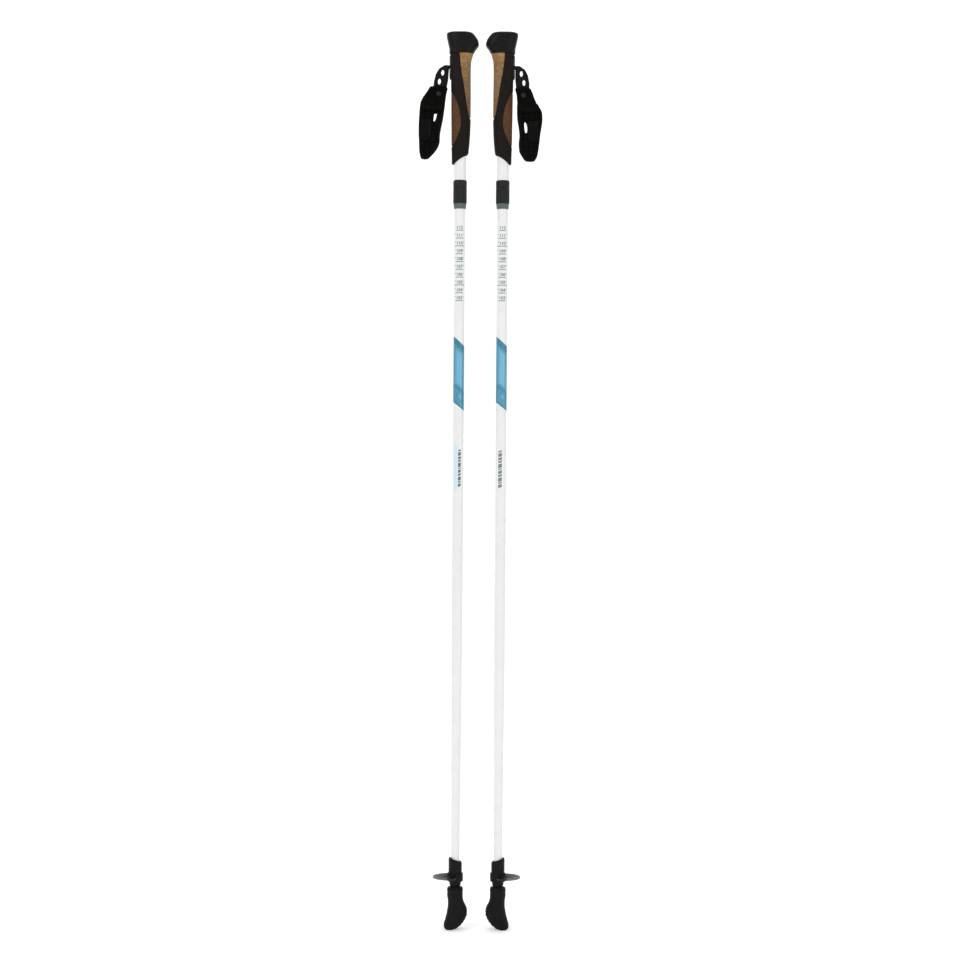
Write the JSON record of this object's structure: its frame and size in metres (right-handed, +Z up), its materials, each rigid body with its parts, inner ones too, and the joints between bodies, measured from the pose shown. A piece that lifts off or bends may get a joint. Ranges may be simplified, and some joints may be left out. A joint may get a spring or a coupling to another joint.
{
  "type": "trekking poles",
  "caption": "Mirrored pair of adjustable walking poles with cork handles, click-in wrist straps, twist locks, half baskets and rubber tip pads.",
  "frame": {"origin": "on the ground, midway across the pair's overall width, in the plane of the two pole axes", "axes": "+Z up along the poles, +X from the left pole to the right one, +Y towards the back"},
  "size_m": [0.1577, 0.038, 1.152],
  "materials": {
    "white_tube": "white lacquer",
    "black_plastic": "satin",
    "button_plastic": "satin",
    "nylon": "matte",
    "wiper_plastic": "matte",
    "basket_plastic": "satin",
    "grip_rubber": "matte",
    "pad_rubber": "matte",
    "cork": "ground cork",
    "webbing": "woven",
    "padding": "padded knit",
    "tab_fabric": "brushed nylon",
    "steel": "bright"
  },
  "bodies": {
    "left_handle": {"left_grip_body": "grip_rubber", "left_cork_front": "cork", "left_cork_rear": "cork", "left_head_cap": "black_plastic", "left_top_plug": "nylon", "left_head_screw": "steel", "left_button_spring": "steel", "left_upper_shaft": "white_tube", "left_lock_sleeve": "black_plastic", "left_lock_collet": "nylon"},
    "left_lock_nut": {"left_lock_nut": "black_plastic", "left_lock_wiper": "wiper_plastic"},
    "left_button": {"left_release_button": "button_plastic"},
    "left_strap": {"left_strap_clip": "black_plastic", "left_palm_strap_front": "webbing", "left_palm_strap_back": "webbing", "left_strap_rivet": "steel", "left_wrist_cuff": "padding", "left_cuff_tab": "tab_fabric"},
    "left_lower": {"left_lower_shaft": "white_tube", "left_shaft_guide": "nylon", "left_tip_ferrule": "black_plastic", "left_basket": "basket_plastic", "left_spike_holder": "steel", "left_carbide_tip": "steel"},
    "left_washer": {"left_pad_washer": "steel"},
    "left_pad": {"left_rubber_pad": "pad_rubber"},
    "right_handle": {"right_grip_body": "grip_rubber", "right_cork_front": "cork", "right_cork_rear": "cork", "right_head_cap": "black_plastic", "right_top_plug": "nylon", "right_head_screw": "steel", "right_button_spring": "steel", "right_upper_shaft": "white_tube", "right_lock_sleeve": "black_plastic", "right_lock_collet": "nylon"},
    "right_lock_nut": {"right_lock_nut": "black_plastic", "right_lock_wiper": "wiper_plastic"},
    "right_button": {"right_release_button": "button_plastic"},
    "right_strap": {"right_strap_clip": "black_plastic", "right_palm_strap_front": "webbing", "right_palm_strap_back": "webbing", "right_strap_rivet": "steel", "right_wrist_cuff": "padding", "right_cuff_tab": "tab_fabric"},
    "right_lower": {"right_lower_shaft": "white_tube", "right_shaft_guide": "nylon", "right_tip_ferrule": "black_plastic", "right_basket": "basket_plastic", "right_spike_holder": "steel", "right_carbide_tip": "steel"},
    "right_washer": {"right_pad_washer": "steel"},
    "right_pad": {"right_rubber_pad": "pad_rubber"}
  },
  "joints": [
    {"name": "left_length", "type": "slide", "parent": "left_handle", "child": "left_lower", "axis": [0, 0, 1], "range_m": [0, 0.12]},
    {"name": "left_lock_twist", "type": "hinge", "parent": "left_handle", "child": "left_lock_nut", "pos_m": [-0.02449, 0, 0.941], "axis": [0, 0, 1], "range_deg": [0, 120]},
    {"name": "left_button_press", "type": "slide", "parent": "left_handle", "child": "left_button", "axis": [0, 0, -1], "range_m": [0, 0.005], "stiffness_N_per_m": 600, "springref_m": -0.002, "deforming": ["left_button_spring"]},
    {"name": "left_strap_swing", "type": "hinge", "parent": "left_handle", "child": "left_strap", "pos_m": [-0.03509, 0, 1.1065], "axis": [0, 1, 0], "range_deg": [0, 70]},
    {"name": "left_pad_pull", "type": "slide", "parent": "left_lower", "child": "left_washer", "axis": [0, 0, -1], "range_m": [0, 0.044]},
    {"name": "left_pad_turn", "type": "hinge", "parent": "left_washer", "child": "left_pad", "pos_m": [-0.02449, 0, 0.01], "axis": [0, 0, 1], "continuous": true},
    {"name": "right_length", "type": "slide", "parent": "right_handle", "child": "right_lower", "axis": [0, 0, 1], "range_m": [0, 0.12]},
    {"name": "right_lock_twist", "type": "hinge", "parent": "right_handle", "child": "right_lock_nut", "pos_m": [0.03031, 0, 0.941], "axis": [0, 0, 1], "range_deg": [0, 120]},
    {"name": "right_button_press", "type": "slide", "parent": "right_handle", "child": "right_button", "axis": [0, 0, -1], "range_m": [0, 0.005], "stiffness_N_per_m": 600, "springref_m": -0.002, "deforming": ["right_button_spring"]},
    {"name": "right_strap_swing", "type": "hinge", "parent": "right_handle", "child": "right_strap", "pos_m": [0.04091, 0, 1.1065], "axis": [0, -1, 0], "range_deg": [0, 75]},
    {"name": "right_pad_pull", "type": "slide", "parent": "right_lower", "child": "right_washer", "axis": [0, 0, -1], "range_m": [0, 0.044]},
    {"name": "right_pad_turn", "type": "hinge", "parent": "right_washer", "child": "right_pad", "pos_m": [0.03031, 0, 0.01], "axis": [0, 0, 1], "continuous": true},
    {"name": "right_pole_lift", "type": "slide", "parent": "left_handle", "child": "right_handle", "axis": [0, 0, 1], "range_m": [0, 0.3]}
  ]
}
